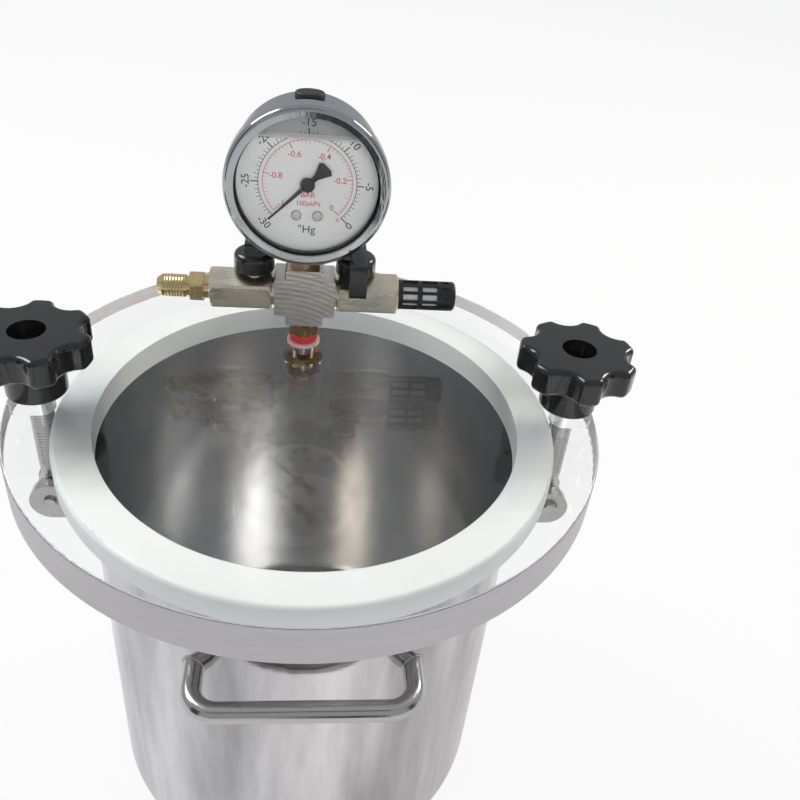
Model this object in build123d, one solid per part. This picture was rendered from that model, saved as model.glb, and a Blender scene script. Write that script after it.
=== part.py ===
"""Vacuum chamber: stainless pot, clear lid, swing-bolt clamps, manifold, gauge."""

import math
import os

from build123d import *

# Pot
pot_radius = 95.0
pot_wall = 1.5
pot_floor = 2.0
pot_height = 200.0
pot_corner = 12.0
rim_overhang = 8.0
rim_thick = 2.0

# Sealing ring
ring_inside = 3.5
ring_outside = 13.0
ring_grip = 7.0
ring_rise = 5.0
ring_round = 2.0

# Lid
lid_overhang = 17.0
lid_thick = 18.0
lid_round = 0.8
slot_width = 12.5

# Handles
rod_dia = 8.5
handle_half = 44.0
handle_standoff = 11.0
handle_drop = 49.0
handle_bend = 11.0

# Swing clamps
clamp_clear = 6.0
pivot_drop = 39.0
bolt_dia = 10.0
bolt_stand = 20.0
eye_dia = 16.0
pin_dia = 6.0
lug_width = 22.0
lug_gap = 11.2
lug_nose = 9.0
lug_throat = 6.0
pin_head = 9.0
pin_tail = 1.5
knob_gap = 1.0
knob_dia = 51.0
knob_head = 13.0
hub_dia = 25.0
hub_height = 16.0
insert_dia = 12.0
recess_dia = 15.0
recess_depth = 8.0
lobes = 7

# Manifold
stem_x = -4.0
stem_y = 47.0
stem_dia = 9.96
stem_bore = 5.0
stem_tail = 12.0
stem_screwed = 8.0
collar_flats = 13.0
collar_low = 6.0
washer_thick = 1.6
valve_rise = 27.0
block_half = 13.75
block_depth = 17.0
block_arm_low = 18.0
block_arm_high = 36.0
block_neck_half = 8.5
block_low = 13.0
block_high = 41.0
port_dia = 10.1
valve_flats = 18.0
valve_start = 14.75
valve_end = 42.5
valve_stem_x = 22.7
valve_stem_dia = 5.0
ball_dia = 8.0
ball_top = 3.4
end_port_dia = 9.0
end_port_depth = 8.0
lever_low = 10.7
skirt_dia = 18.0
skirt_height = 8.5
lever_high = 25.0
lever_width = 7.7
lever_reach = 24.6

# Gauge
gauge_rise = 81.5
bezel_over = 2.5
bezel_front = -15.5
case_radius = 32.0
case_wall = 1.0
case_front = -9.5
case_back = 14.5
sight_in = 2.7
dial_front = -7.0
dial_thick = 0.8
dial_gap = 0.4
plug_wide = 6.2
plug_deep = 4.9
plug_rise = 2.2
socket_neck_dia = 11.9
socket_top = -18.5
movement_top = 10.0
movement_half = 8.0
tube_bend = 22.0
tube_flat = 1.2
tube_wide = 3.0
tube_sweep = 265.0
pointer_shaft = 1.6
pointer_tip = 23.0

# Clearances
fit = 0.05
gap = 0.3

rim_radius = pot_radius + rim_overhang
ring_inner = pot_radius - ring_inside
ring_outer = pot_radius + ring_outside
ring_low = pot_height - ring_grip
lid_radius = ring_outer + lid_overhang
clamp_radius = ring_outer + clamp_clear
handle_reach = pot_radius + handle_standoff
handle_height = pot_height - handle_drop
pivot_height = pot_height - pivot_drop
bezel_radius = case_radius + bezel_over
sight_radius = case_radius - sight_in
dial_radius = case_radius - case_wall - dial_gap
lid_low = pot_height + ring_rise
lid_high = lid_low + lid_thick
valve_axis = lid_high + valve_rise
gauge_axis = lid_high + gauge_rise
bolt_end = lid_high + bolt_stand
low = (Align.CENTER, Align.CENTER, Align.MIN)


def rod(dia, z0, z1, x=0.0, y=0.0):
    """Upright cylinder between two heights."""
    return Pos(x, y, z0) * Cylinder(dia / 2, z1 - z0, align=low)


def rod_x(dia, x0, x1, y=0.0, z=0.0):
    """Cylinder lying along X."""
    return Pos(x0, y, z) * Rot(0, 90, 0) * Cylinder(dia / 2, x1 - x0, align=low)


def rod_y(dia, y0, y1, x=0.0, z=0.0):
    """Cylinder lying along Y."""
    return Pos(x, y0, z) * Rot(-90, 0, 0) * Cylinder(dia / 2, y1 - y0, align=low)


def slab(x0, x1, y0, y1, z0, z1):
    """Box between two corners."""
    place = Pos((x0 + x1) / 2, (y0 + y1) / 2, (z0 + z1) / 2)
    return place * Box(x1 - x0, y1 - y0, z1 - z0)


def turned(points):
    """Closed radius and height profile turned about Z."""
    wire = Wire.make_polygon([Vector(r, 0, z) for r, z in points], close=True)
    return revolve(Face(wire), axis=Axis.Z)


def hexagon(flats, length, turn=0.0):
    """Hexagonal bar standing on the origin, a corner on X when unturned."""
    shape = RegularPolygon(flats / 2, 6, major_radius=False, rotation=turn)
    return extrude(shape, amount=length)


def ends_z(shape, axis=Axis.Z):
    """Edges of the lowest and highest groups along an axis."""
    groups = shape.edges().group_by(axis)
    return groups[0] + groups[-1]


def other_side(shape):
    """Copy turned half a turn about the pot axis."""
    return Rot(0, 0, 180) * shape


def pot_shell():
    """Drawn pot with a rounded base corner."""
    outer = Cylinder(pot_radius, pot_height, align=low)
    outer = fillet(outer.edges().group_by(Axis.Z)[0], pot_corner)
    inner = Pos(0, 0, pot_floor) * Cylinder(pot_radius - pot_wall, pot_height, align=low)
    inner = fillet(inner.edges().group_by(Axis.Z)[0], pot_corner - pot_wall)
    return outer - inner


def pot_rim():
    """Flat ring welded round the mouth."""
    ring = rod(2 * rim_radius, pot_height - rim_thick, pot_height)
    return ring - rod(2 * pot_radius, 0, 2 * pot_height)


def sealing_ring():
    """Channel section that grips the rim above and below."""
    rim_low = pot_height - rim_thick - gap
    inside = pot_radius - pot_wall - gap
    outside = pot_radius + gap
    points = [
        (ring_inner, ring_low),
        (inside, ring_low),
        (inside, pot_height),
        (rim_radius + gap, pot_height),
        (rim_radius + gap, rim_low),
        (outside, rim_low),
        (outside, ring_low),
        (ring_outer, ring_low),
        (ring_outer, lid_low),
        (ring_inner, lid_low),
    ]
    ring = turned(points)
    edges = ring.edges().filter_by(GeomType.CIRCLE)
    edges = edges.filter_by(lambda e: abs(e.radius - ring_outer) < 0.01)
    return fillet(edges, ring_round)


def lid_plate():
    """Round clear plate with two open side slots and a stem hole."""
    plate = Pos(0, 0, lid_low) * Cylinder(lid_radius, lid_thick, align=low)
    plate = fillet(ends_z(plate), lid_round)
    for side in (-1, 1):
        mouth = slab(0, 30, -slot_width / 2, slot_width / 2, lid_low - 1, lid_high + 1)
        cut = Pos(clamp_radius, 0, 0) * mouth
        cut += rod(slot_width, lid_low - 1, lid_high + 1, clamp_radius)
        plate -= Rot(0, 0, 90 - 90 * side) * cut
    return plate - rod(port_dia, lid_low - 1, lid_high + 1, stem_x, stem_y)


def handle():
    """Bent rod handle in front of the wall, ends cut to the wall."""
    y_wall = -math.sqrt(pot_radius**2 - handle_half**2) + 3
    line = Polyline(
        (-handle_half, y_wall, handle_height),
        (-handle_half, -handle_reach, handle_height),
        (handle_half, -handle_reach, handle_height),
        (handle_half, y_wall, handle_height),
    )
    corners = line.vertices().sort_by(Axis.Y)[:2]
    path = fillet(corners, handle_bend)
    section = Plane(origin=path @ 0, z_dir=path % 0) * Circle(rod_dia / 2)
    bar = sweep(section, path=path)
    return bar - Cylinder(pot_radius, 4 * pot_height)


def lug():
    """Clevis with rounded ears welded to the wall."""
    shape = slab(pot_radius - 5, clamp_radius, -lug_width / 2, lug_width / 2, -lug_nose, lug_nose)
    shape += rod_y(2 * lug_nose, -lug_width / 2, lug_width / 2, clamp_radius)
    throat = pot_radius + lug_throat
    open_end = clamp_radius + 2 * lug_nose
    shape -= slab(throat, open_end, -lug_gap / 2, lug_gap / 2, -20, 20)
    shape -= rod_y(pin_dia + 2 * fit, -20, 20, clamp_radius)
    return Pos(0, 0, pivot_height) * shape - Cylinder(pot_radius, 2 * pot_height, align=low)


def pivot_pin():
    """Headed pin through both ears."""
    pin = rod_y(pin_dia, -lug_width / 2, lug_width / 2 + pin_tail, clamp_radius)
    head = rod_y(pin_head, -lug_width / 2 - 2.5, -lug_width / 2, clamp_radius)
    head = fillet(head.edges().group_by(Axis.Y)[0], 1.0)
    return Pos(0, 0, pivot_height) * (pin + head)


def swing_bolt():
    """Threaded stud with an eye round the pin."""
    wide = lug_gap - 2 * gap
    shape = rod_y(eye_dia, -wide / 2, wide / 2, clamp_radius, pivot_height)
    stud = rod(bolt_dia, pivot_height, bolt_end, clamp_radius)
    stud = chamfer(stud.edges().group_by(Axis.Z)[-1], 1.0)
    shape += stud
    return shape - rod_y(pin_dia + 2 * fit, -20, 20, clamp_radius, pivot_height)


def knob_insert():
    """Tapped brass bush carried by the knob."""
    bottom = lid_high + knob_gap
    top = bottom + hub_height + knob_head - recess_depth - 1.0
    bush = rod(insert_dia, bottom, top, clamp_radius)
    return bush - rod(bolt_dia + 2 * fit, bottom - 1, top + 1, clamp_radius)


def star_knob():
    """Lobed grip on a round hub with an open top recess."""
    bottom = lid_high + knob_gap
    head_low = bottom + hub_height
    outline = Circle(knob_dia / 2)
    for k in range(lobes):
        turn = math.radians(90 + 360 * k / lobes)
        outline -= Pos(29 * math.cos(turn), 29 * math.sin(turn)) * Circle(8.0)
    outline = fillet(outline.vertices(), 3.0)
    head = extrude(outline, amount=knob_head)
    head = fillet(ends_z(head), 2.5)
    knob = Pos(0, 0, head_low) * head
    hub = rod(hub_dia, bottom, head_low + 2)
    hub = fillet(hub.edges().group_by(Axis.Z)[0], 1.0)
    knob += hub
    top = head_low + knob_head
    knob -= rod(recess_dia, top - recess_depth, top + 1)
    knob -= rod(insert_dia + 2 * fit, bottom - 1, top + 1)
    return Pos(clamp_radius, 0, 0) * knob


def lid_stem():
    """Hollow threaded stem through the lid into the block."""
    stem = rod(stem_dia, lid_low - stem_tail, lid_high + block_low + stem_screwed)
    collar = hexagon(collar_flats, block_low - collar_low, 30)
    collar = Pos(0, 0, lid_high + collar_low) * collar
    stem += collar
    stem -= rod(stem_bore, lid_low - 20, lid_high + 40)
    return stem


def stem_seal():
    """Soft ring on the lid round the stem."""
    ring = rod(13.4, lid_high + washer_thick, lid_high + collar_low)
    ring = fillet(ends_z(ring), 1.2)
    return ring - rod(port_dia, lid_high - 1, lid_high + 10)


def stem_washer():
    """Flat washer under the soft ring."""
    ring = rod(15.4, lid_high, lid_high + washer_thick)
    ring = chamfer(ring.edges().group_by(Axis.Z)[-1], 0.3)
    return ring - rod(port_dia, lid_high - 1, lid_high + 10)


def stem_nut():
    """Hexagon nut under the lid."""
    nut = Pos(0, 0, lid_low - 7.0) * hexagon(17.0, 5.5, 30)
    nut += rod(19.0, lid_low - 1.5, lid_low)
    return nut - rod(port_dia, lid_low - 20, lid_low + 5)


def manifold_block():
    """Cross block with four ports."""
    half = block_depth / 2
    arm_low = lid_high + block_arm_low
    arm_high = lid_high + block_arm_high
    neck_low = lid_high + block_low
    neck_high = lid_high + block_high
    arms = slab(-block_half, block_half, -half, half, arm_low, arm_high)
    neck = slab(-block_neck_half, block_neck_half, -half, half, neck_low, neck_high)
    block = arms + neck
    block = chamfer(block.edges().filter_by(Axis.Y), 0.6)
    block -= rod(port_dia, neck_low - 1, neck_high + 1)
    return block - rod_x(port_dia, -20, 20, 0, valve_axis)


def valve_body():
    """Hexagon ball valve body running out along +X from the block."""
    size = valve_end - valve_start
    bar = Rot(0, 90, 0) * hexagon(valve_flats, size, 0)
    bar = Pos(valve_start, 0, 0) * bar
    dome = rod_x(2 * 10.0, valve_start, valve_end)
    dome = chamfer(dome.edges(), 1.2)
    body = bar & dome
    body += rod_x(14.0, block_half, valve_start)
    body += rod_x(port_dia - 2 * fit, 6.6, block_half)
    body += rod(9.0, 0, lever_low - 0.5, valve_stem_x)
    body -= rod_x(5.0, 0, 60)
    body -= rod_x(end_port_dia, valve_end - end_port_depth, 60)
    body -= Pos(valve_stem_x, 0, 0) * Sphere(ball_dia / 2 + fit)
    return body - rod(valve_stem_dia + 2 * fit, 0, 20, valve_stem_x)


def valve_ball():
    """Drilled ball, its bore across the pipe when shut."""
    ball = Sphere(ball_dia / 2) - slab(-9, 9, -9, 9, ball_top, 9)
    return Pos(valve_stem_x, 0, 0) * (ball - rod_y(5.0, -9, 9))


def valve_stem():
    """Round stem from the ball up into the lever."""
    return rod(valve_stem_dia, ball_top, lever_low + 9, valve_stem_x)


def valve_lever():
    """Round skirt with a lever bar that turns down at its end."""
    skirt = rod(skirt_dia, lever_low, lever_low + skirt_height)
    skirt = fillet(skirt.edges().group_by(Axis.Z)[-1], 2.5)
    skirt = fillet(skirt.edges().group_by(Axis.Z)[0], 0.8)
    w = lever_width / 2
    top = slab(-w, w, -lever_reach, 7.0, lever_low + skirt_height - 3, lever_high)
    front = slab(-w, w, -lever_reach, -lever_reach + 4.2, lever_low - 0.7, lever_high)
    bar = top + front
    bar = fillet(bar.edges().filter_by(Axis.X), 1.4)
    lever = skirt + bar
    lever -= rod(valve_stem_dia + 2 * fit, 0, lever_low + 9)
    lever -= rod(6.2, lever_high - 2.6, lever_high + 1)
    lever -= rod(3.0 + 2 * fit, 0, lever_high + 1)
    return Pos(valve_stem_x, 0, 0) * lever


def lever_screw():
    """Small screw that holds the lever on its stem."""
    floor = lever_high - 2.6
    screw = rod(5.6, floor, floor + 1.9, valve_stem_x)
    return screw + rod(3.0, lever_low + 9, floor, valve_stem_x)


def flare_adapter():
    """Flare fitting running out along +X: neck, hexagon, thread and nose."""
    x = valve_end
    body = rod_x(end_port_dia - 2 * fit, x - end_port_depth + 1, x)
    body += rod_x(10.4, x, x + 2.7)
    hexa = Pos(x + 2.7, 0, 0) * Rot(0, 90, 0) * hexagon(12.7, 6.4, 0)
    dome = chamfer(rod_x(14.2, x + 2.7, x + 9.1).edges(), 0.7)
    body += hexa & dome
    body += rod_x(8.6, x + 9.1, x + 11.0)
    body += rod_x(10.0, x + 10.4, x + 20.4)
    nose = rod_x(10.0, x + 20.4, x + 23.4)
    nose = chamfer(nose.edges().group_by(Axis.X)[-1], 2.2, 1.6)
    body += nose
    return body - rod_x(4.6, 0, 90)


def silencer_body():
    """Slotted tube with a closed end running out along +X."""
    x = valve_end
    body = rod_x(end_port_dia - 2 * fit, x - end_port_depth + 1, x)
    tube = rod_x(13.6, x, x + 27.0)
    tube = fillet(tube.edges().group_by(Axis.X)[-1], 1.6)
    body += tube
    body -= rod_x(10.9, x + 1.6, x + 24.0)
    body -= rod_x(4.6, 0, x + 5)
    for start, stop in ((2.4, 9.4), (11.4, 18.4)):
        for k in range(10):
            cut = slab(x + start, x + stop, -1.35, 1.35, 4.0, 9.0)
            body -= Rot(36 * k, 0, 0) * cut
    for k in range(10):
        cut = slab(x + 20.4, x + 23.6, -1.0, 1.0, 6.2, 9.0)
        body -= Rot(36 * k, 0, 0) * cut
    return body


def silencer_filter():
    """Porous liner inside the slotted tube."""
    x = valve_end
    return rod_x(10.4, x + 1.9, x + 23.7) - rod_x(6.0, x, x + 21)


def gauge_case():
    """Cup open to the front with socket and filling holes."""
    cup = rod_y(2 * case_radius, case_front, case_back)
    cup = fillet(cup.edges().group_by(Axis.Y)[-1], 2.4)
    bore = rod_y(2 * (case_radius - case_wall), case_front - 1, case_back - case_wall)
    bore = fillet(bore.edges().group_by(Axis.Y)[-1], 1.4)
    cup -= bore
    cup -= rod(socket_neck_dia + 2 * fit, -2 * case_radius, 0)
    return cup - rod(8.0, case_radius / 2, 2 * case_radius, 0, 5.0)


def gauge_bezel():
    """Rolled ring over the window and the case mouth."""
    ring = rod_y(2 * bezel_radius, bezel_front, case_front + 3.1)
    ring = fillet(ring.edges().group_by(Axis.Y)[0], 2.2)
    ring = fillet(ring.edges().group_by(Axis.Y)[-1], 0.8)
    ring -= rod_y(2 * (case_radius + fit), bezel_front + 1.6, 20)
    return ring - rod_y(2 * (sight_radius + 0.7), bezel_front - 1, bezel_front + 1.7)


def gauge_window():
    """Clear disc behind the bezel lip."""
    return rod_y(2 * case_radius - 0.6, bezel_front + 1.6, bezel_front + 4.0)


def gauge_window_seal():
    """Dark ring between window and case mouth."""
    ring = rod_y(2 * case_radius - 0.6, bezel_front + 4.0, case_front)
    return ring - rod_y(2 * sight_radius, -30, 30)


def gauge_dial():
    """Round dial plate with centre and screw holes."""
    plate = rod_y(2 * dial_radius, dial_front, dial_front + dial_thick)
    plate -= rod_y(3.0, -30, 30)
    for x in (-4.5, 4.5):
        plate -= rod_y(2.1, -30, 30, x, -14.0)
    turn = math.radians(139.5)
    return plate - rod_y(1.0, -30, 30, 20 * math.sin(turn), 20 * math.cos(turn))


def gauge_stop_pin():
    """Small pin beside the zero mark."""
    turn = math.radians(139.5)
    x = 20 * math.sin(turn)
    z = 20 * math.cos(turn)
    return rod_y(0.96, dial_front - 2.2, dial_front + dial_thick, x, z)


def gauge_dial_screws():
    """Two round-headed screws through the dial."""
    screws = []
    for x in (-4.5, 4.5):
        head = rod_y(4.4, dial_front - 1.3, dial_front, x, -14.0)
        head = fillet(head.edges().group_by(Axis.Y)[0], 0.6)
        screws.append(head + rod_y(1.96, dial_front, dial_front + 4.0, x, -14.0))
    return Compound(children=screws)


def gauge_pointer():
    """Pointer with spade tail, hub and shaft, set at the low end stop."""
    blade = Polygon(
        (-0.9, 0), (-0.25, pointer_tip), (0.25, pointer_tip), (0.9, 0), align=None
    )
    tail = Polygon(
        (-0.9, 0), (-1.2, -5.0), (-3.6, -10.2), (-2.2, -11.4), (2.2, -11.4),
        (3.6, -10.2), (1.2, -5.0), (0.9, 0), align=None,
    )
    flat = extrude(blade + tail, amount=0.6)
    flat = Pos(0, dial_front - 1.4, 0) * Rot(90, 0, 0) * flat
    flat = Rot(0, -135, 0) * flat
    hub = rod_y(6.0, dial_front - 2.8, dial_front - 0.9)
    hub = fillet(hub.edges().group_by(Axis.Y)[0], 0.5)
    return flat + hub + rod_y(pointer_shaft, dial_front - 0.9, 8.0)


def gauge_movement():
    """Two movement plates on a foot above the socket."""
    w = movement_half
    foot = slab(-w, w, -4.6, 6.0, socket_top, socket_top + 2)
    front = slab(-w, w, -4.6, -3.1, socket_top, movement_top)
    back = slab(-w, w, 4.5, 6.0, socket_top, movement_top)
    shape = foot + front + back
    for x in (-4.5, 4.5):
        shape += rod_y(4.0, dial_front + dial_thick, -4.6, x, -14.0)
    for x, z in ((-6, 7), (6, 7)):
        shape += rod_y(3.0, -3.6, 5.0, x, z)
    for x in (-4.5, 4.5):
        shape -= rod_y(2.1, -30, 0, x, -14.0)
    return shape - rod_y(pointer_shaft + 2 * fit, -30, 30)


def bourdon_tube():
    """Curved pressure tube from the socket neck round the movement."""
    section = Pos(tube_bend, 0) * Ellipse(tube_flat, tube_wide)
    arc = revolve(section, axis=Axis.Y, revolution_arc=tube_sweep)
    arc = Rot(0, 90, 0) * arc
    return arc - rod(socket_neck_dia, -2 * tube_bend, -tube_bend / 2)


def gauge_socket():
    """Brass socket from the block up through the case wall."""
    base = block_high - gauge_rise
    socket = Pos(0, 0, base) * hexagon(13.0, 5.0, 30)
    socket += rod(socket_neck_dia, base + 4.0, socket_top)
    socket += rod(stem_dia, base - 8.0, base)
    return socket - rod(3.6, base - 9.0, -22.0)


def gauge_fill_plug():
    """Rubber filling plug on top of the case."""
    low_z = case_radius - 4.0
    head = extrude(Ellipse(plug_wide, plug_deep), amount=4.0 + plug_rise)
    head = Pos(0, 5.0, low_z) * head
    head = fillet(head.edges().group_by(Axis.Z)[-1], 1.2)
    head -= rod_y(2 * case_radius, -2 * case_radius, 2 * case_radius)
    return head + rod(7.9, case_radius - 2.5, case_radius + 1.0, 0, 5.0)


def save(shape, node):
    """Write one node."""
    export_step(shape, "parts/" + node + ".step")


def main():
    os.makedirs("parts", exist_ok=True)
    stem = Pos(stem_x, stem_y, 0)
    valve = Pos(stem_x, stem_y, valve_axis)
    gauge = Pos(stem_x, stem_y, gauge_axis)
    half = Rot(0, 0, 180)

    save(pot_shell(), "pot_shell")
    save(pot_rim(), "pot_rim")
    save(sealing_ring(), "sealing_ring")
    save(lid_plate(), "lid_plate")
    bar = handle()
    save(bar, "handle_front")
    save(half * bar, "handle_rear")

    clamps = {
        "lug": lug(),
        "pivot_pin": pivot_pin(),
        "swing_bolt": swing_bolt(),
        "knob_insert": knob_insert(),
        "star_knob": star_knob(),
    }
    for name, shape in clamps.items():
        save(shape, name + "_right")
        save(half * shape, name + "_left")

    save(stem * lid_stem(), "lid_stem")
    save(stem * stem_seal(), "stem_seal")
    save(stem * stem_washer(), "stem_washer")
    save(stem * stem_nut(), "stem_nut")
    save(stem * manifold_block(), "manifold_block")

    valves = {
        "valve_body": valve_body(),
        "valve_ball": valve_ball(),
        "valve_stem": valve_stem(),
        "valve_lever": valve_lever(),
        "lever_screw": lever_screw(),
    }
    for name, shape in valves.items():
        save(valve * shape, name + "_right")
        save(valve * half * shape, name + "_left")
    save(valve * half * flare_adapter(), "flare_adapter")
    save(valve * silencer_body(), "silencer_body")
    save(valve * silencer_filter(), "silencer_filter")

    gauges = {
        "gauge_case": gauge_case(),
        "gauge_bezel": gauge_bezel(),
        "gauge_window": gauge_window(),
        "gauge_window_seal": gauge_window_seal(),
        "gauge_dial": gauge_dial(),
        "gauge_stop_pin": gauge_stop_pin(),
        "gauge_dial_screws": gauge_dial_screws(),
        "gauge_pointer": gauge_pointer(),
        "gauge_movement": gauge_movement(),
        "bourdon_tube": bourdon_tube(),
        "gauge_socket": gauge_socket(),
        "gauge_fill_plug": gauge_fill_plug(),
    }
    for name, shape in gauges.items():
        save(gauge * shape, name)


main()
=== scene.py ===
import math
import bpy
import numpy as np
from mathutils import Matrix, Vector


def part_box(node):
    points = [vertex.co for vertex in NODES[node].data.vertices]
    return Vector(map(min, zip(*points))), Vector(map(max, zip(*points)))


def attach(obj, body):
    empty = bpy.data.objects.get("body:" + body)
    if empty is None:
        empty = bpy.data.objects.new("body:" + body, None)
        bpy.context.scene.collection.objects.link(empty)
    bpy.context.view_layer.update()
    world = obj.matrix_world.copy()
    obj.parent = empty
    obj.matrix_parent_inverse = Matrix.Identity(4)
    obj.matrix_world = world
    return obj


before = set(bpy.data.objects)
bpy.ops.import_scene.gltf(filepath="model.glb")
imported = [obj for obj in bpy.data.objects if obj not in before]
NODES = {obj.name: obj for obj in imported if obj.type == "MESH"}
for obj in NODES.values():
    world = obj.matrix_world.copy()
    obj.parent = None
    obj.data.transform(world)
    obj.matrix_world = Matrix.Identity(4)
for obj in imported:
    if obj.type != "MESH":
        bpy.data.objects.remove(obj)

bpy.context.view_layer.update()


# ---------------------------------------------------------------- places
def centre(node):
    """Middle of a node's box."""
    low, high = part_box(node)
    return (np.array(low) + np.array(high)) / 2


LID_LOW, LID_HIGH = (np.array(c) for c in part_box("lid_plate"))
LID_TOP = float(LID_HIGH[2])
POT_RADIUS = 0.095
CLAMP_X = float(centre("swing_bolt_right")[0])
DIAL = centre("gauge_dial")
DIAL_FRONT = float(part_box("gauge_dial")[0][1])
DIAL_X = float(DIAL[0])
DIAL_Z = float(DIAL[2])
DIAL_RADIUS = float(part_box("gauge_dial")[1][0]) - DIAL_X
LIQUID_LEVEL = DIAL_Z + 0.0197
BLOCK = centre("manifold_block")


# ---------------------------------------------------------------- materials
class Finish:
    """One procedural material and the nodes that build it."""

    def __init__(self, name, colour, metal=0.0, rough=0.4):
        self.material = bpy.data.materials.new(name)
        self.material.use_nodes = True
        self.tree = self.material.node_tree
        self.shader = self.tree.nodes["Principled BSDF"]
        self.output = self.tree.nodes["Material Output"]
        self.set("Base Color", (*colour, 1.0))
        self.set("Metallic", metal)
        self.set("Roughness", rough)
        self.place = self.add("ShaderNodeTexCoord").outputs["Object"]
        self.relief = None

    def add(self, kind, **values):
        node = self.tree.nodes.new(kind)
        for key, value in values.items():
            setattr(node, key, value)
        return node

    def link(self, start, end):
        self.tree.links.new(start, end)

    def set(self, socket, value):
        self.shader.inputs[socket].default_value = value

    def math(self, operation, first, second=0.0):
        """First and second combined by one operation; either may be a number."""
        node = self.add("ShaderNodeMath", operation=operation)
        for socket, value in zip(node.inputs, (first, second)):
            if isinstance(value, (int, float)):
                socket.default_value = value
            else:
                self.link(value, socket)
        return node.outputs[0]

    def scaled(self, stretch, shift=(0, 0, 0)):
        node = self.add("ShaderNodeMapping")
        self.link(self.place, node.inputs["Vector"])
        node.inputs["Scale"].default_value = stretch
        node.inputs["Location"].default_value = shift
        return node.outputs["Vector"]

    def axes(self):
        node = self.add("ShaderNodeSeparateXYZ")
        self.link(self.place, node.inputs[0])
        return node.outputs

    def noise(self, scale, detail=3.0, stretch=(1, 1, 1), vector=None, rough=0.55):
        node = self.add("ShaderNodeTexNoise")
        node.inputs["Scale"].default_value = scale
        node.inputs["Detail"].default_value = detail
        node.inputs["Roughness"].default_value = rough
        if vector is None:
            vector = self.scaled(stretch)
        self.link(vector, node.inputs["Vector"])
        return node.outputs["Fac"]

    def ramp(self, value, low, high, start=0.3, stop=0.7):
        node = self.add("ShaderNodeMapRange")
        self.link(value, node.inputs["Value"])
        for key, number in zip(
            ("From Min", "From Max", "To Min", "To Max"), (start, stop, low, high)
        ):
            node.inputs[key].default_value = number
        return node.outputs[0]

    def blend(self, value, one, two):
        node = self.add("ShaderNodeMix", data_type="RGBA")
        self.link(value, node.inputs["Factor"])
        for socket, colour in ((node.inputs[6], one), (node.inputs[7], two)):
            if isinstance(colour, tuple):
                socket.default_value = (*colour, 1.0)
            else:
                self.link(colour, socket)
        return node.outputs[2]

    def into(self, value, socket):
        self.link(value, self.shader.inputs[socket])

    def raise_by(self, height, distance, strength=1.0):
        """Adds relief on top of the relief already there."""
        node = self.add("ShaderNodeBump")
        node.inputs["Distance"].default_value = distance
        node.inputs["Strength"].default_value = strength
        self.link(height, node.inputs["Height"])
        if self.relief is not None:
            self.link(self.relief, node.inputs["Normal"])
        self.relief = node.outputs["Normal"]
        self.link(self.relief, self.shader.inputs["Normal"])


def radius_from_axis(finish, x=0.0, y=0.0):
    """Distance from an upright line, sqrt((X-x)^2 + (Y-y)^2)."""
    ax = finish.axes()
    dx = finish.math("SUBTRACT", ax[0], x)
    dy = finish.math("SUBTRACT", ax[1], y)
    return hypotenuse(finish, dx, dy)


def hypotenuse(finish, one, two):
    """sqrt(one^2 + two^2)."""
    squares = [finish.math("MULTIPLY", side, side) for side in (one, two)]
    return finish.math("SQRT", finish.math("ADD", *squares))


def drawn_steel():
    """Spun pot: fine lines run round the axis, the wall slightly wavy, the inside duller; the
    outer wall colour carries painted reflection streaks.
    """
    f = Finish("drawn_steel", (0.74, 0.73, 0.72), 1.0, 0.1)
    radius = radius_from_axis(f)
    height = f.axes()[2]
    rings = f.add("ShaderNodeCombineXYZ")
    f.link(radius, rings.inputs[0])
    f.link(height, rings.inputs[1])
    lines = f.noise(900.0, 2.0, vector=rings.outputs[0])
    broad = f.noise(26.0, 3.0, (1, 1, 0.35))
    fine = f.noise(60.0, 4.0)
    inside = f.math("LESS_THAN", radius, POT_RADIUS - 0.0008)
    # Painted reflections: vertical light and dark streaks in the outer wall colour stand in
    # for the varied surroundings a polished wall would mirror.
    painted_reflection_streak = f.ramp(f.noise(40.0, 5.0, (1, 1, 0.14)), 0.0, 1.0, 0.32, 0.68)
    outside_painted_reflections = f.blend(painted_reflection_streak, (0.38, 0.37, 0.38), (0.80, 0.785, 0.79))
    f.into(f.blend(inside, outside_painted_reflections, (0.66, 0.655, 0.65)), "Base Color")
    polish = f.ramp(fine, 0.05, 0.13)
    f.into(f.math("ADD", polish, f.math("MULTIPLY", inside, 0.11)), "Roughness")
    wavy = f.math("MULTIPLY", broad, f.math("SUBTRACT", 1.0, inside))
    f.raise_by(wavy, 0.0040, 0.5)
    f.raise_by(lines, 0.00004, 0.5)
    return f.material


def polished_steel(name, colour, low, high, wave=0.0006):
    f = Finish(name, colour, 1.0, low)
    f.into(f.ramp(f.noise(90.0, 4.0), low, high), "Roughness")
    f.raise_by(f.noise(260.0, 3.0, (1, 1, 0.3)), 0.00006, 0.6)
    f.raise_by(f.noise(35.0, 2.0), wave, 0.2)
    return f.material


def milled_nickel():
    """Block: arc-shaped cutter marks, rings about a point below the front left."""
    f = Finish("milled_nickel", (0.72, 0.70, 0.65), 1.0, 0.3)
    ax = f.axes()
    dx = f.math("SUBTRACT", ax[0], float(BLOCK[0]) - 0.012)
    dz = f.math("SUBTRACT", ax[2], float(BLOCK[2]) - 0.050)
    reach = hypotenuse(f, dx, dz)
    wobble = f.math("MULTIPLY", f.noise(60.0, 2.0), 0.001)
    ridge = f.math("SINE", f.math("MULTIPLY", f.math("ADD", reach, wobble), 2600.0))
    mark = f.math("ADD", f.math("MULTIPLY", ridge, 0.22), f.noise(160.0, 4.0))
    tint = f.blend(f.ramp(mark, 0.0, 1.0, 0.0, 1.0), (0.60, 0.575, 0.53), (0.88, 0.855, 0.79))
    f.into(tint, "Base Color")
    f.into(f.ramp(f.noise(220.0, 2.0), 0.28, 0.40), "Roughness")
    f.raise_by(ridge, 0.00003, 0.42)
    return f.material


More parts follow.
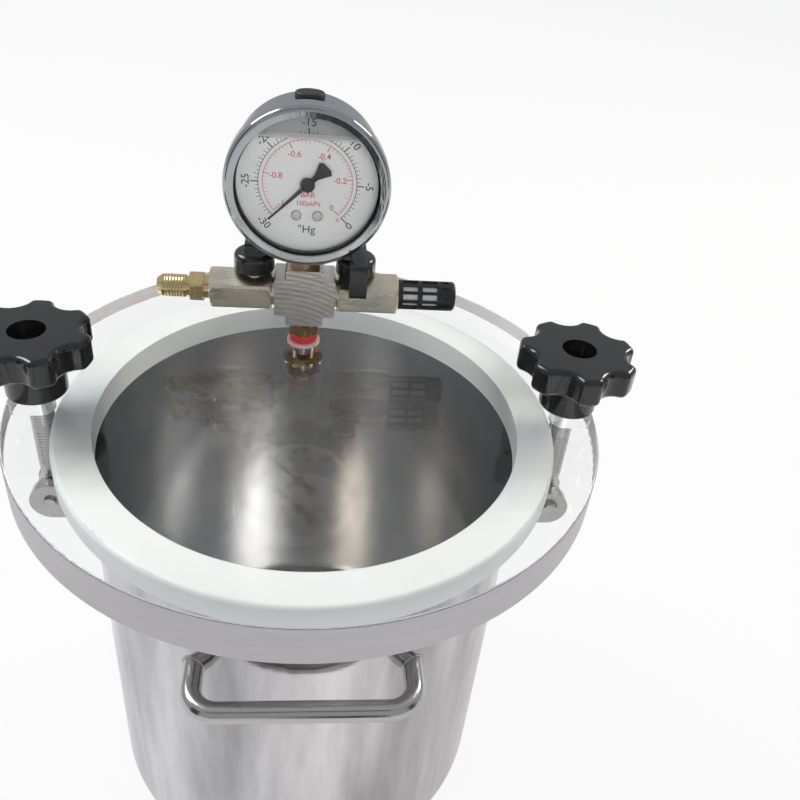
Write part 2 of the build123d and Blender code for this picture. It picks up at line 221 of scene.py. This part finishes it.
def plated_brass():
    """Valve bars: nickel over brass, warm where it has worn, drawn along the bar."""
    f = Finish("plated_brass", (0.80, 0.74, 0.60), 1.0, 0.24)
    worn = f.ramp(f.noise(70.0, 5.0), 0.0, 1.0)
    tint = f.blend(worn, (0.66, 0.64, 0.60), (0.93, 0.82, 0.58))
    f.into(tint, "Base Color")
    f.into(f.ramp(f.noise(180.0, 4.0, (0.3, 1, 1)), 0.20, 0.36), "Roughness")
    f.raise_by(f.noise(420.0, 3.0, (0.08, 1, 1)), 0.00006, 0.6)
    return f.material


def bright_brass():
    f = Finish("bright_brass", (0.80, 0.56, 0.27), 1.0, 0.22)
    tint = f.blend(f.noise(130.0, 4.0), (0.66, 0.40, 0.20), (0.90, 0.68, 0.36))
    f.into(tint, "Base Color")
    f.into(f.ramp(f.noise(200.0, 3.0), 0.16, 0.32), "Roughness")
    f.raise_by(f.noise(600.0, 2.0), 0.00005, 0.5)
    return f.material


def yellow_passivated():
    """Zinc plate with a yellow film whose tint drifts from green to rose."""
    f = Finish("yellow_passivated", (0.74, 0.58, 0.28), 1.0, 0.25)
    film = f.ramp(f.noise(150.0, 3.0), 0.0, 1.0)
    tint = f.blend(film, (0.66, 0.60, 0.28), (0.84, 0.56, 0.34))
    f.into(tint, "Base Color")
    f.into(f.ramp(f.noise(240.0, 3.0), 0.18, 0.34), "Roughness")
    return f.material


def moulded_plastic(name, colour, low, high, grain, depth):
    f = Finish(name, colour, 0.0, low)
    f.into(f.ramp(f.noise(140.0, 4.0), low, high), "Roughness")
    f.raise_by(f.noise(grain, 3.0), depth, 0.5)
    return f


def clear_sheet():
    """Acrylic: polished faces, a machined frosted wall and a faint line half way up it."""
    f = Finish("clear_sheet", (0.985, 0.988, 0.99), 0.0, 0.0)
    f.set("Transmission Weight", 1.0)
    f.set("IOR", 1.49)
    geometry = f.add("ShaderNodeNewGeometry")
    parts = f.add("ShaderNodeSeparateXYZ")
    f.link(geometry.outputs["True Normal"], parts.inputs[0])
    upright = f.math("LESS_THAN", f.math("ABSOLUTE", parts.outputs[2]), 0.5)
    reach = radius_from_axis(f)
    outer = f.math("GREATER_THAN", reach, float(LID_HIGH[1]) - 0.0012)
    wall = f.math("MULTIPLY", upright, outer)
    around = f.noise(700.0, 3.0, (0.05, 0.05, 1))
    f.into(f.math("MULTIPLY", wall, f.ramp(around, 0.40, 0.58)), "Roughness")
    middle = float(LID_LOW[2] + LID_HIGH[2]) / 2
    away = f.math("ABSOLUTE", f.math("SUBTRACT", f.axes()[2], middle))
    line = f.math("MULTIPLY", f.math("LESS_THAN", away, 0.00035), wall)
    tint = f.blend(wall, (0.985, 0.988, 0.99), (0.93, 0.91, 0.92))
    f.into(f.blend(line, tint, (0.70, 0.68, 0.69)), "Base Color")
    frost = f.add("ShaderNodeBsdfDiffuse")
    frost.inputs["Color"].default_value = (0.86, 0.83, 0.85, 1.0)
    layer = f.add("ShaderNodeMixShader")
    f.link(f.math("MULTIPLY", wall, 0.55), layer.inputs[0])
    f.link(f.shader.outputs[0], layer.inputs[1])
    f.link(frost.outputs[0], layer.inputs[2])
    let_light_through(f, layer.outputs[0], wall, 0.97)
    return f.material


def clear_pane():
    f = Finish("clear_pane", (0.99, 0.99, 0.99), 0.0, 0.0)
    f.set("Transmission Weight", 1.0)
    f.set("IOR", 1.33)
    f.into(f.ramp(f.noise(400.0, 3.0), 0.0, 0.02, 0.45, 0.9), "Roughness")
    let_light_through(f, f.shader.outputs[0], None, 0.97)
    return f.material


def let_light_through(f, surface, solid, clear):
    """Shadow rays pass the clear faces, so what lies below is lit."""
    through = f.add("ShaderNodeBsdfTransparent")
    through.inputs["Color"].default_value = (clear, clear, clear, 1.0)
    path = f.add("ShaderNodeLightPath")
    share = path.outputs["Is Shadow Ray"]
    if solid is not None:
        share = f.math("MULTIPLY", share, f.math("SUBTRACT", 1.0, solid))
    mix = f.add("ShaderNodeMixShader")
    f.link(share, mix.inputs[0])
    f.link(surface, mix.inputs[1])
    f.link(through.outputs[0], mix.inputs[2])
    f.link(mix.outputs[0], f.output.inputs["Surface"])


def white_silicone():
    f = Finish("white_silicone", (0.90, 0.90, 0.88), 0.0, 0.42)
    f.set("Subsurface Weight", 0.25)
    f.set("Subsurface Radius", (0.004, 0.004, 0.004))
    f.set("Subsurface Scale", 0.6)
    tint = f.blend(f.noise(35.0, 4.0), (0.70, 0.74, 0.73), (0.78, 0.81, 0.80))
    f.into(tint, "Base Color")
    f.raise_by(f.noise(300.0, 3.0), 0.00005, 0.4)
    return f.material


def dial_enamel():
    """White enamel, with painted shade above the liquid level, where the dry dial looks
    greyer.
    """
    f = Finish("dial_enamel", (0.88, 0.88, 0.87), 0.0, 0.5)
    # Painted shade: the dial colour turns grey above the liquid level, standing in for the
    # darker look of the dry part of the case.
    painted_dry_shade = f.ramp(f.axes()[2], 0.0, 1.0, LIQUID_LEVEL - 0.0004, LIQUID_LEVEL + 0.0008)
    tone = f.blend(f.noise(500.0, 2.0), (0.86, 0.86, 0.85), (0.90, 0.90, 0.89))
    f.into(f.blend(painted_dry_shade, tone, (0.40, 0.41, 0.42)), "Base Color")
    f.raise_by(f.noise(900.0, 2.0), 0.00002, 0.4)
    return f.material


def printed_ink(name, colour):
    f = Finish(name, colour, 0.0, 0.55)
    f.into(f.ramp(f.noise(900.0, 2.0), 0.45, 0.65), "Roughness")
    return f.material


DRAWN_STEEL = drawn_steel()
ROD_STEEL = polished_steel("rod_steel", (0.54, 0.53, 0.51), 0.12, 0.26)
CASE_STEEL = polished_steel("case_steel", (0.46, 0.47, 0.48), 0.05, 0.13, 0.0010)
TURNED_STEEL = polished_steel("turned_steel", (0.52, 0.51, 0.50), 0.18, 0.34)
NICKEL = milled_nickel()
VALVE_PLATE = plated_brass()
BRASS = bright_brass()
ZINC = yellow_passivated()
SHEET = clear_sheet()
PANE = clear_pane()
SILICONE = white_silicone()
ENAMEL = dial_enamel()
BLACK_INK = printed_ink("black_ink", (0.03, 0.03, 0.035))
RED_INK = printed_ink("red_ink", (0.72, 0.08, 0.10))
GRIP_PLASTIC = moulded_plastic(
    "grip_plastic", (0.011, 0.011, 0.012), 0.10, 0.24, 500.0, 0.00005
)
GRIP_PLASTIC.set("Coat Weight", 0.4)
GRIP_PLASTIC.set("Coat Roughness", 0.08)
GRIP = GRIP_PLASTIC.material
SLOTTED, POINTER, RED_SEAL, PALE_WASHER, SOFT_BLACK, POROUS = (
    moulded_plastic(*words).material
    for words in (
        ("slotted_plastic", (0.018, 0.018, 0.019), 0.30, 0.48, 700.0, 0.00006),
        ("pointer_black", (0.012, 0.012, 0.012), 0.35, 0.50, 900.0, 0.00002),
        ("red_seal", (0.66, 0.045, 0.05), 0.28, 0.42, 500.0, 0.00006),
        ("pale_washer", (0.80, 0.52, 0.50), 0.35, 0.50, 600.0, 0.00006),
        ("soft_black", (0.022, 0.022, 0.023), 0.40, 0.58, 800.0, 0.00008),
        ("porous_white", (0.86, 0.86, 0.84), 0.70, 0.90, 1400.0, 0.0003),
    )
)

DRESS = {
    DRAWN_STEEL: ("pot_shell", "pot_rim"),
    ROD_STEEL: ("handle_front", "handle_rear"),
    CASE_STEEL: ("gauge_case", "gauge_bezel"),
    TURNED_STEEL: (
        "lug_left", "lug_right", "pivot_pin_left", "pivot_pin_right",
        "swing_bolt_left", "swing_bolt_right", "valve_ball_left", "valve_ball_right",
        "lever_screw_left", "lever_screw_right", "gauge_dial_screws",
    ),
    NICKEL: ("manifold_block",),
    VALVE_PLATE: ("valve_body_left", "valve_body_right", "stem_nut"),
    BRASS: (
        "lid_stem", "knob_insert_left", "knob_insert_right",
        "valve_stem_left", "valve_stem_right", "gauge_socket", "gauge_movement",
        "bourdon_tube", "gauge_stop_pin",
    ),
    ZINC: ("flare_adapter",),
    SHEET: ("lid_plate",),
    PANE: ("gauge_window",),
    SILICONE: ("sealing_ring",),
    ENAMEL: ("gauge_dial",),
    POINTER: ("gauge_pointer",),
    GRIP: ("star_knob_left", "star_knob_right", "valve_lever_left", "valve_lever_right"),
    SLOTTED: ("silencer_body",),
    RED_SEAL: ("stem_seal",),
    PALE_WASHER: ("stem_washer",),
    SOFT_BLACK: ("gauge_window_seal", "gauge_fill_plug"),
    POROUS: ("silencer_filter",),
}
for finish, names in DRESS.items():
    for name in names:
        if name in NODES:
            for slot in NODES[name].material_slots:
                slot.material = finish


# A hair of room between the sealing ring and the clear lid on top of it.
room = NODES["sealing_ring"].modifiers.new("room", "DISPLACE")
room.mid_level = 0.0
room.strength = -0.00008


# ---------------------------------------------------------------- surfaces
def piece(name, points, faces, finish, body, smooth=True):
    """Mesh object from an array of points and an array of faces."""
    mesh = bpy.data.meshes.new(name)
    mesh.from_pydata(points.reshape(-1, 3).tolist(), [], faces.tolist())
    mesh.validate()
    mesh.polygons.foreach_set("use_smooth", np.full(len(mesh.polygons), smooth))
    mesh.materials.append(finish)
    mesh.update()
    obj = bpy.data.objects.new(name, mesh)
    bpy.context.scene.collection.objects.link(obj)
    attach(obj, body)
    return obj


def quads(rows, columns, wrap_rows=False, wrap_columns=False):
    """Corner numbers of the cells of a grid stored row by row."""
    i, j = np.meshgrid(
        np.arange(rows if wrap_rows else rows - 1),
        np.arange(columns if wrap_columns else columns - 1),
        indexing="ij",
    )
    i, j = i.ravel(), j.ravel()
    i2, j2 = (i + 1) % rows, (j + 1) % columns
    return np.stack(
        [i * columns + j, i * columns + j2, i2 * columns + j2, i2 * columns + j], axis=1
    )


def frame_of(axis):
    """Two unit vectors square to an axis, right-handed with it."""
    axis = np.array(axis, float)
    side = np.cross(axis, (0.0, 1.0, 0.0) if abs(axis[1]) < 0.9 else (1.0, 0.0, 0.0))
    side /= np.linalg.norm(side)
    return side, np.cross(axis, side)


def thread(name, start, axis, length, radius, pitch, depth, finish, body):
    """Screw thread round an axis.

    r(a, s) = radius + depth * tri(s / pitch - a / 2 pi), where tri is a triangle
    wave between 0 and 1 that fades to 0 at both ends, and s runs along the axis.
    """
    turns, steps = 32, int(length / pitch * 6) + 1
    a = np.linspace(0, 2 * np.pi, turns, endpoint=False)[None, :]
    s = np.linspace(0, length, steps)[:, None]
    phase = (s / pitch - a / (2 * np.pi)) % 1.0
    tri = 1 - np.abs(2 * phase - 1)
    fade = np.clip(np.minimum(s, length - s) / pitch, 0, 1)
    r = radius + depth * tri * fade - 0.00008
    u, v = frame_of(axis)
    line = np.array(start) + s[..., None] * np.array(axis, float)
    ring = np.cos(a)[..., None] * u + np.sin(a)[..., None] * v
    points = line + r[..., None] * ring
    return piece(name, points, quads(steps, turns, False, True), finish, body)


def bead(name, path, outward, thick, finish, body):
    """Closed tube with a rippled thickness along a closed path.

    p(t, a) = path(t) + thick (1 + 0.12 sin 40 t)(cos a * outward(t) + sin a * side(t)).
    """
    count, around = len(path), 10
    along = np.roll(path, -1, 0) - np.roll(path, 1, 0)
    along /= np.linalg.norm(along, axis=1, keepdims=True)
    out = outward - (outward * along).sum(1, keepdims=True) * along
    out /= np.linalg.norm(out, axis=1, keepdims=True)
    side = np.cross(along, out)
    a = np.linspace(0, 2 * np.pi, around, endpoint=False)[None, :, None]
    t = np.linspace(0, 2 * np.pi, count, endpoint=False)
    r = (thick * (1 + 0.12 * np.sin(40 * t)))[:, None, None]
    points = path[:, None] + r * (np.cos(a) * out[:, None] + np.sin(a) * side[:, None])
    return piece(name, points, quads(count, around, True, True), finish, body)


def oblong(half_wide, half_high, power, count):
    """Closed outline |x/w|^p + |z/h|^p = 1."""
    t = np.linspace(0, 2 * np.pi, count, endpoint=False)
    c, s = np.cos(t), np.sin(t)
    x = half_wide * np.sign(c) * np.abs(c) ** (2 / power)
    z = half_high * np.sign(s) * np.abs(s) ** (2 / power)
    return x, z


def weld_on_wall(name, turn, across, height, half_wide, half_high, power, thick):
    """Weld bead where a leg or lug meets the round wall, at an angle round the pot."""
    u, z = oblong(half_wide, half_high, power, 96)
    u = u + across
    depth = np.sqrt(POT_RADIUS**2 - u**2)
    c, s = math.cos(turn), math.sin(turn)
    path = np.stack([depth * c - u * s, depth * s + u * c, height + z], axis=1)
    outward = path * (1, 1, 0)
    return bead(name, path, outward, thick, TURNED_STEEL, "chamber")


HANDLE_Z = float(centre("handle_front")[2])
ROD = float(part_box("handle_front")[1][2]) - HANDLE_Z
LEG = float(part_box("handle_front")[1][0]) - ROD
for place, turn in (("front", -math.pi / 2), ("rear", math.pi / 2)):
    for k, across in enumerate((-LEG, LEG)):
        weld_on_wall(
            f"handle_weld_{place}_{k}", turn, across, HANDLE_Z,
            ROD + 0.0001, ROD + 0.0001, 2, 0.0005,
        )
LUG_Z = float(centre("lug_right")[2])
for place, turn in (("right", 0.0), ("left", math.pi)):
    weld_on_wall(f"lug_weld_{place}", turn, 0.0, LUG_Z, 0.0112, 0.0091, 8, 0.0008)

# Stud, flare and stem threads
STUD_TOP = float(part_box("swing_bolt_right")[1][2])
STUD_LOW = LUG_Z + 0.014
for place, side in (("left", -1), ("right", 1)):
    thread(
        f"stud_thread_{place}", (side * CLAMP_X, 0, STUD_LOW), (0, 0, 1),
        STUD_TOP - 0.0012 - STUD_LOW, 0.005, 0.0015, 0.00028,
        TURNED_STEEL, f"{place}_bolt",
    )
flare_low, flare_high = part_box("flare_adapter")
FLARE_Y, FLARE_Z = float(centre("flare_adapter")[1]), float(centre("flare_adapter")[2])
thread(
    "flare_thread", (float(flare_low[0]) + 0.0030, FLARE_Y, FLARE_Z), (1, 0, 0),
    0.0100, 0.005, 0.00127, 0.00036, ZINC, "chamber",
)
STEM_X, STEM_Y = float(centre("lid_stem")[0]), float(centre("lid_stem")[1])
thread(
    "stem_thread_below", (STEM_X, STEM_Y, float(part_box("lid_stem")[0][2]) + 0.0003),
    (0, 0, 1), 0.0046, 0.00498, 0.00127, 0.00030, BRASS, "chamber",
)

# ---------------------------------------------------------------- dial
INK_Y = DIAL_FRONT - 0.00006
BLACK_ARC = 0.0205
RED_ARC = 0.0187
LOW_STOP = -135.0
SWEEP = 270.0


def on_dial(radius, degrees):
    """Dial point at a radius and an angle clockwise from the top."""
    t = np.radians(degrees)
    return DIAL_X + radius * np.sin(t), DIAL_Z + radius * np.cos(t)


def strokes(name, angles, inner, outer, wide, finish):
    """Radial strokes: a thin rectangle for each angle, all at once."""
    angles = np.radians(np.asarray(angles, float))[:, None]
    inner = np.broadcast_to(np.asarray(inner, float).reshape(-1, 1), angles.shape)
    outer = np.broadcast_to(np.asarray(outer, float).reshape(-1, 1), angles.shape)
    wide = np.broadcast_to(np.asarray(wide, float).reshape(-1, 1), angles.shape) / 2
    r = np.concatenate([inner, outer, outer, inner], axis=1)
    w = np.concatenate([-wide, -wide, wide, wide], axis=1)
    x = DIAL_X + r * np.sin(angles) + w * np.cos(angles)
    z = DIAL_Z + r * np.cos(angles) - w * np.sin(angles)
    points = np.stack([x, np.full_like(x, INK_Y), z], axis=2)
    faces = np.arange(points.shape[0] * 4).reshape(-1, 4)[:, ::-1]
    return piece(name, points, faces, finish, "chamber", False)


def arc_line(name, radius, first, last, wide, finish):
    """Flat ring sector between two angles, radius +- wide / 2."""
    t = np.linspace(first, last, 181)[:, None]
    r = np.array([[radius - wide / 2, radius + wide / 2]])
    x, z = on_dial(r, t)
    points = np.stack([x, np.full_like(x, INK_Y), z], axis=2)
    faces = quads(181, 2)
    return piece(name, points, faces, finish, "chamber", False)


def words(name, text, x, z, size, turn, finish, slot):
    """Lettering on the dial: flat text turned clockwise by an angle about its middle."""
    curve = bpy.data.curves.new(name, "FONT")
    curve.body = text
    curve.size = size
    curve.align_x = "CENTER"
    curve.align_y = "CENTER"
    curve.resolution_u = 3
    curve.offset = 0.00002
    holder = bpy.data.objects.new(name + "_text", curve)
    bpy.context.scene.collection.objects.link(holder)
    bpy.context.view_layer.update()
    shown = holder.evaluated_get(bpy.context.evaluated_depsgraph_get())
    mesh = bpy.data.meshes.new_from_object(shown)
    bpy.data.objects.remove(holder)
    bpy.data.curves.remove(curve)
    flat = np.empty(len(mesh.vertices) * 3)
    mesh.vertices.foreach_get("co", flat)
    flat = flat.reshape(-1, 3)
    t = math.radians(turn)
    px = flat[:, 0] * math.cos(t) + flat[:, 1] * math.sin(t) + x
    pz = -flat[:, 0] * math.sin(t) + flat[:, 1] * math.cos(t) + z
    placed = np.stack([px, np.full_like(px, INK_Y), pz], axis=1)
    mesh.vertices.foreach_set("co", placed.ravel())
    mesh.name = name
    mesh.materials.clear()
    mesh.materials.append(finish)
    mesh.update()
    obj = bpy.data.objects.new(name, mesh)
    bpy.context.scene.collection.objects.link(obj)
    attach(obj, "chamber")
    return obj


steps = np.arange(61)
whole = steps % 2 == 0
five = steps % 10 == 0
length = np.where(five, 0.0030, np.where(whole, 0.0020, 0.0013))
strokes(
    "dial_black_marks", LOW_STOP + SWEEP * steps / 60, BLACK_ARC,
    BLACK_ARC + length, np.where(five, 0.00046, 0.00022), BLACK_INK,
)
arc_line(
    "dial_black_arc", BLACK_ARC, LOW_STOP, LOW_STOP + SWEEP, 0.00026,
    BLACK_INK,
)
RED_LOW = LOW_STOP + 4.2
RED_HIGH = LOW_STOP + SWEEP
parts = np.arange(51)
length = np.where(parts % 10 == 0, 0.0026, np.where(parts % 5 == 0, 0.0018, 0.0011))
strokes(
    "dial_red_marks", RED_LOW + (RED_HIGH - RED_LOW) * parts / 50, RED_ARC - length,
    RED_ARC, np.where(parts % 10 == 0, 0.00036, 0.00018), RED_INK,
)
arc_line("dial_red_arc", RED_ARC, RED_LOW, RED_HIGH, 0.00022, RED_INK)
for k in range(7):
    angle = LOW_STOP + SWEEP * k / 6
    x, z = on_dial(0.0256, angle)
    turn = {0: 45.0, 6: -45.0}.get(k, angle)
    words(
        f"black_number_{k}", str(-30 + 5 * k), x, z, 0.0046, turn,
        BLACK_INK, "pointer_black",
    )
for k, text in enumerate(("-1", "-0.8", "-0.6", "-0.4", "-0.2", "0")):
    angle = RED_LOW + (RED_HIGH - RED_LOW) * k / 5
    x, z = on_dial(0.0135 if 0 < k < 5 else 0.0145, angle)
    words(f"red_number_{k}", text, x, z, 0.0036, 0.0, RED_INK, "rubber_red")
for name, text, across, below, size, ink, slot in (
    ("unit_bar", "BAR", 0.0002, 0.0050, 0.0034, RED_INK, "rubber_red"),
    ("unit_kpa", "100xkPa", 0.0004, 0.0088, 0.0031, RED_INK, "rubber_red"),
    ("unit_hg", '"Hg', 0.0, 0.0206, 0.0050, BLACK_INK, "pointer_black"),
):
    words(name, text, DIAL_X + across, DIAL_Z - below, size, 0, ink, slot)


def painted_highlight_meniscus():
    """Top of the filling liquid: a shallow trough across the case, coloured whitish and half
    clear as a painted highlight of the meniscus.

    z(u, v) = level + rise * (2 v - 1)^4 + rise * u^8, with u across from -1 to 1
    and v from the dial to the window.
    """
    # Painted highlight: the near-white, half-clear colour stands in for the bright line a
    # clear liquid surface shows.
    f = Finish("painted_highlight_meniscus", (0.95, 0.95, 0.93), 0.0, 0.08)
    f.set("IOR", 1.45)
    f.set("Alpha", 0.55)
    f.into(f.ramp(f.noise(200.0, 2.0), 0.05, 0.2), "Roughness")
    f.raise_by(f.noise(160.0, 2.0), 0.0008, 0.5)
    back = DIAL_FRONT - 0.0001
    front = float(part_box("gauge_window")[1][1]) + 0.0001
    rise = LIQUID_LEVEL - DIAL_Z
    half = math.sqrt((DIAL_RADIUS - 0.0016) ** 2 - rise**2)
    u = np.linspace(-1, 1, 60)[:, None]
    v = np.linspace(0, 1, 16)[None, :]
    x = DIAL_X + half * u + 0 * v
    y = back + (front - back) * v + 0 * u
    z = LIQUID_LEVEL + 0.0012 * (2 * v - 1) ** 4 + 0.0006 * u**8
    points = np.stack([x, y, z], axis=2)
    return piece("painted_highlight_meniscus", points, quads(60, 16), f.material, "chamber")


painted_highlight_meniscus()


# ---------------------------------------------------------------- studio
def studio_plane(name, size, place, turn=(0, 0, 0)):
    bpy.ops.mesh.primitive_plane_add(size=size, location=place, rotation=turn)
    obj = bpy.context.object
    obj.name = name
    return obj


def pale_floor():
    f = Finish("pale_floor", (0.86, 0.86, 0.87), 0.0, 0.9)
    glow = f.add("ShaderNodeEmission")
    glow.inputs["Color"].default_value = (1, 1, 1, 1)
    path = f.add("ShaderNodeLightPath")
    mirrored = f.math("MULTIPLY", path.outputs["Is Glossy Ray"], 0.25)
    seen = f.math("MAXIMUM", path.outputs["Is Camera Ray"], mirrored)
    seen = f.math("MAXIMUM", seen, path.outputs["Is Transmission Ray"])
    mix = f.add("ShaderNodeMixShader")
    f.link(f.math("MULTIPLY", seen, 0.88), mix.inputs[0])
    f.link(f.shader.outputs[0], mix.inputs[1])
    f.link(glow.outputs[0], mix.inputs[2])
    f.link(mix.outputs[0], f.output.inputs["Surface"])
    return f.material


floor = studio_plane("floor", 12.0, (0, 0, 0))
floor.data.materials.append(pale_floor())

world = bpy.data.worlds.new("studio_air")
bpy.context.scene.world = world
world.use_nodes = True
air = world.node_tree
plain = air.nodes["Background"]
plain.inputs["Color"].default_value = (0.92, 0.95, 1.0, 1.0)
plain.inputs["Strength"].default_value = 0.45
seen_air = air.nodes.new("ShaderNodeBackground")
seen_air.inputs["Color"].default_value = (0.965, 0.965, 0.968, 1)
route = air.nodes.new("ShaderNodeLightPath")
either = air.nodes.new("ShaderNodeMixShader")
air.links.new(route.outputs["Is Camera Ray"], either.inputs[0])
air.links.new(plain.outputs[0], either.inputs[1])
air.links.new(seen_air.outputs[0], either.inputs[2])
air.links.new(either.outputs[0], air.nodes["World Output"].inputs["Surface"])


def stand(obj, side, up, back, place):
    """Places an object by its three axes and its origin."""
    grid = np.eye(4)
    grid[:3] = np.stack([side, up, back, place], axis=1)
    obj.matrix_world = Matrix(grid.tolist())


def soft_lamp(name, place, aim, size, power, colour=(1, 1, 1)):
    """Square lamp that faces a point."""
    lamp = bpy.data.lights.new(name, "AREA")
    lamp.size = size
    lamp.energy = power
    lamp.color = colour
    obj = bpy.data.objects.new(name, lamp)
    bpy.context.scene.collection.objects.link(obj)
    place, aim = np.array(place, float), np.array(aim, float)
    away = place - aim
    away /= np.linalg.norm(away)
    side, up = frame_of(away)
    stand(obj, side, up, away, place)
    return obj


soft_lamp("high_left", (-1.1, 0.5, 1.5), (0, 0, 0.2), 0.8, 15)
soft_lamp("high_right", (1.2, 0.7, 1.2), (0, 0, 0.2), 0.5, 9, (1.0, 0.90, 0.76))
front_fill = soft_lamp("front_fill", (0.3, -1.6, 0.9), (0, 0, 0.15), 0.8, 5)
front_fill.visible_glossy = False


def dark_card(name, place, wide, high, turn):
    """Upright dark card that polished metal reflects."""
    obj = studio_plane(name, 1.0, place, (math.pi / 2, 0, turn))
    obj.scale = (wide, high, 1)
    f = Finish(name + "_cloth", (0.05, 0.055, 0.065), 0.0, 0.9)
    obj.data.materials.append(f.material)
    obj.visible_camera = False
    obj.visible_shadow = False
    obj.visible_diffuse = False
    obj.visible_transmission = False
    return obj


dark_card("card_left", (-0.75, -0.55, 0.25), 0.35, 1.0, math.radians(-54))
dark_card("card_right", (0.80, -0.45, 0.25), 0.28, 1.0, math.radians(60))
dark_card("card_front", (0.04, -0.62, 0.06), 0.10, 0.34, math.radians(8))
dark_card("card_high", (-0.2, -0.9, 1.3), 0.9, 0.35, 0.0)

# ---------------------------------------------------------------- camera
BEARING = math.radians(8.09)
DIP = math.radians(35.66)
ROLL = 0.11
SENSOR = 36.0
EYE = np.array((-0.00423, -0.30339, LID_TOP + 0.2202))
ahead = np.array((
    math.sin(BEARING) * math.cos(DIP), math.cos(BEARING) * math.cos(DIP), -math.sin(DIP),
))
level = np.array((math.cos(BEARING), -math.sin(BEARING), 0.0))
upward = np.cross(level, ahead)
right = math.cos(ROLL) * level + math.sin(ROLL) * upward
up = -math.sin(ROLL) * level + math.cos(ROLL) * upward
camera = bpy.data.cameras.new("camera")
camera.sensor_width = SENSOR
camera.lens = 38.6
camera.clip_start = 0.01
holder = bpy.data.objects.new("camera", camera)
bpy.context.scene.collection.objects.link(holder)
stand(holder, right, up, -ahead, EYE)
bpy.context.scene.camera = holder
bpy.context.scene.view_settings.view_transform = "Standard"

bpy.context.view_layer.update()
